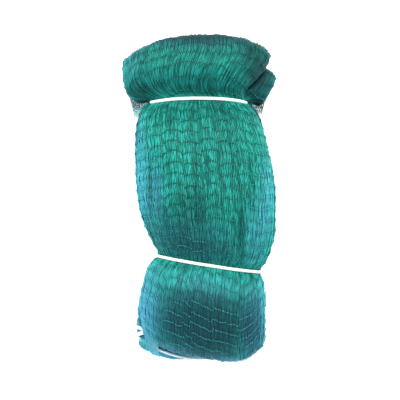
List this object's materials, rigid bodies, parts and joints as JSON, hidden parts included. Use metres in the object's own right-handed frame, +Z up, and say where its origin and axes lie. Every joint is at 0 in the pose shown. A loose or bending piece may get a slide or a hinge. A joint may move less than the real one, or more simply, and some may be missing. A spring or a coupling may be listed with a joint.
{
  "type": "folded fishing net",
  "caption": "Fine knotted netting, drawn out lengthwise, folded back and forth into a flat bundle and bound round with white cords.",
  "frame": {"origin": "on the flat resting face under the middle of the bundle", "axes": "+X to the right across the bundle, +Y along it towards the wide folded head, +Z up from the surface it lies on"},
  "size_m": [0.2609, 0.5521, 0.1146],
  "materials": {
    "netting": "fine knotted polyamide twine, satin",
    "cord": "soft braided white cord, matt"
  },
  "bodies": {
    "root": {"net": "netting", "upper_tie": "cord", "middle_tie": "cord", "end_tie": "cord"}
  },
  "joints": []
}
